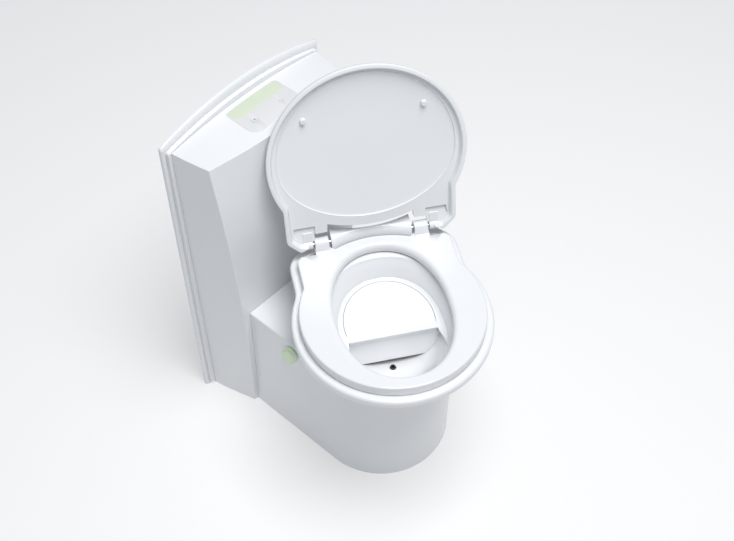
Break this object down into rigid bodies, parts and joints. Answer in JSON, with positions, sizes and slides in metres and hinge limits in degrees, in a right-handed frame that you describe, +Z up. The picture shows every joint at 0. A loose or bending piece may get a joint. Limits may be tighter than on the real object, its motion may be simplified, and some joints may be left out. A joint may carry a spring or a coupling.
{
  "type": "cassette toilet",
  "caption": "Caravan cassette toilet: swivelling bowl with seat and lid on a round-fronted pedestal, against a wall housing with a console, over a pull-out waste cassette.",
  "frame": {"origin": "on the floor, on the bowl's swivel axis, under the pedestal", "axes": "+Z up; +Y towards the wall behind; -Y towards the user; +X to the right as seen from the front"},
  "size_m": [0.4729, 0.615, 0.8712],
  "materials": {
    "white_plastic": "gloss moulded plastic",
    "green_plastic": "satin moulded plastic",
    "grey_panel": "satin",
    "dark_plastic": "matte",
    "tank_plastic": "matte blow-moulded plastic",
    "rubber": "matte",
    "steel": "brushed",
    "board_green": "lacquered board",
    "lens": "clear tinted"
  },
  "bodies": {
    "housing": {"wall_flange": "white_plastic", "rear_housing": "white_plastic", "pedestal_shell": "white_plastic", "floor_pan": "dark_plastic", "floor_screw_1": "steel", "floor_screw_2": "steel", "floor_screw_3": "steel", "floor_screw_4": "steel", "swivel_track": "dark_plastic", "console_panel": "grey_panel", "console_band": "green_plastic", "level_lamp": "lens", "control_board": "board_green", "flush_tank": "tank_plastic", "flush_pump": "dark_plastic", "flush_hose": "rubber", "water_inlet": "white_plastic", "knob_bush": "dark_plastic", "drive_bracket": "white_plastic"},
    "bowl": {"bowl_liner": "white_plastic", "bowl_skin": "white_plastic", "swivel_ring": "dark_plastic", "bowl_shelf": "white_plastic", "flush_jet": "dark_plastic", "hinge_block": "white_plastic", "hinge_pin_left": "steel", "hinge_pin_right": "steel", "hinge_screw_left": "steel", "hinge_screw_right": "steel"},
    "seat": {"seat_ring": "white_plastic", "seat_buffer_1": "rubber", "seat_buffer_2": "rubber", "seat_buffer_3": "rubber", "seat_buffer_4": "rubber"},
    "lid": {"lid_shell": "white_plastic", "lid_buffer_left": "rubber", "lid_buffer_right": "rubber"},
    "knob": {"valve_knob": "green_plastic", "knob_shaft": "steel", "knob_pinion": "dark_plastic"},
    "drive": {"spindle_gear": "dark_plastic", "drive_spindle": "steel"},
    "button": {"flush_button": "grey_panel"},
    "filler": {"filler_cap": "green_plastic"},
    "latch": {"cassette_latch": "green_plastic"},
    "cassette": {"waste_tank": "tank_plastic", "wheel_axle": "steel", "valve_tray": "tank_plastic", "valve_cover": "tank_plastic", "lip_seal": "rubber"},
    "blade": {"valve_blade": "dark_plastic"},
    "wheel_l": {"wheel_left": "rubber"},
    "wheel_r": {"wheel_right": "rubber"},
    "spout": {"pouring_spout": "tank_plastic"},
    "cap": {"spout_cap": "green_plastic"},
    "vent": {"vent_button": "green_plastic"},
    "handle": {"carrying_handle": "green_plastic"},
    "puller": {"pull_handle": "dark_plastic"}
  },
  "joints": [
    {"name": "bowl_swivel", "type": "hinge", "parent": "housing", "child": "bowl", "pos_m": [0, 0, 0.33], "axis": [0, 0, 1], "range_deg": [0, 71.2]},
    {"name": "seat_hinge", "type": "hinge", "parent": "bowl", "child": "seat", "pos_m": [0.05821, 0.08131, 0.505], "axis": [0.8131, -0.5821, 0], "range_deg": [-97, 0]},
    {"name": "lid_hinge", "type": "hinge", "parent": "bowl", "child": "lid", "pos_m": [0.05821, 0.08131, 0.505], "axis": [0.8131, -0.5821, 0], "range_deg": [0, 104]},
    {"name": "valve_knob_turn", "type": "hinge", "parent": "housing", "child": "knob", "pos_m": [-0.149, 0.115, 0.285], "axis": [-1, 0, 0], "range_deg": [0, 90]},
    {"name": "drive_turn", "type": "hinge", "parent": "housing", "child": "drive", "pos_m": [-0.055, 0.115, 0.285], "axis": [0, 0, 1], "range_deg": [0, 60.1]},
    {"name": "flush_button_press", "type": "slide", "parent": "housing", "child": "button", "axis": [0, 0, -1], "range_m": [0, 0.0015], "stiffness_N_per_m": 400},
    {"name": "filler_cap_turn", "type": "hinge", "parent": "housing", "child": "filler", "pos_m": [-0.08, 0.3425, 0.64], "axis": [0, 1, 0], "range_deg": [0, 90]},
    {"name": "latch_turn", "type": "hinge", "parent": "housing", "child": "latch", "pos_m": [0, 0.3305, 0.0145], "axis": [0, 1, 0], "range_deg": [-90, 0]},
    {"name": "cassette_slide", "type": "slide", "parent": "housing", "child": "cassette", "axis": [0, 1, 0], "range_m": [0, 0.46]},
    {"name": "blade_turn", "type": "hinge", "parent": "cassette", "child": "blade", "pos_m": [-0.055, 0.115, 0.23], "axis": [0, 0, 1], "range_deg": [0, 60.1]},
    {"name": "wheel_left_roll", "type": "hinge", "parent": "cassette", "child": "wheel_l", "pos_m": [-0.1015, -0.026, 0.0258], "axis": [1, 0, 0], "continuous": true},
    {"name": "wheel_right_roll", "type": "hinge", "parent": "cassette", "child": "wheel_r", "pos_m": [0.1015, -0.026, 0.0258], "axis": [1, 0, 0], "continuous": true},
    {"name": "spout_swing", "type": "hinge", "parent": "cassette", "child": "spout", "pos_m": [0.088, 0.27, 0.264], "axis": [0, 0, 1], "range_deg": [-180, 0]},
    {"name": "spout_cap_turn", "type": "hinge", "parent": "spout", "child": "cap", "pos_m": [0.088, 0.1856, 0.264], "axis": [0, -1, 0], "range_deg": [0, 120]},
    {"name": "vent_button_press", "type": "slide", "parent": "cassette", "child": "vent", "axis": [0, 0, -1], "range_m": [0, 0.005], "stiffness_N_per_m": 300},
    {"name": "carrying_handle_swing", "type": "hinge", "parent": "cassette", "child": "handle", "pos_m": [0, 0.334, 0.181], "axis": [1, 0, 0], "range_deg": [0, 90]},
    {"name": "pull_handle_slide", "type": "slide", "parent": "cassette", "child": "puller", "axis": [0, 1, 0], "range_m": [0, 0.2]}
  ],
  "couplings": [
    {"joint": "drive_turn", "follows": "valve_knob_turn", "ratio": 0.66667},
    {"joint": "blade_turn", "follows": "valve_knob_turn", "ratio": 0.66667}
  ]
}
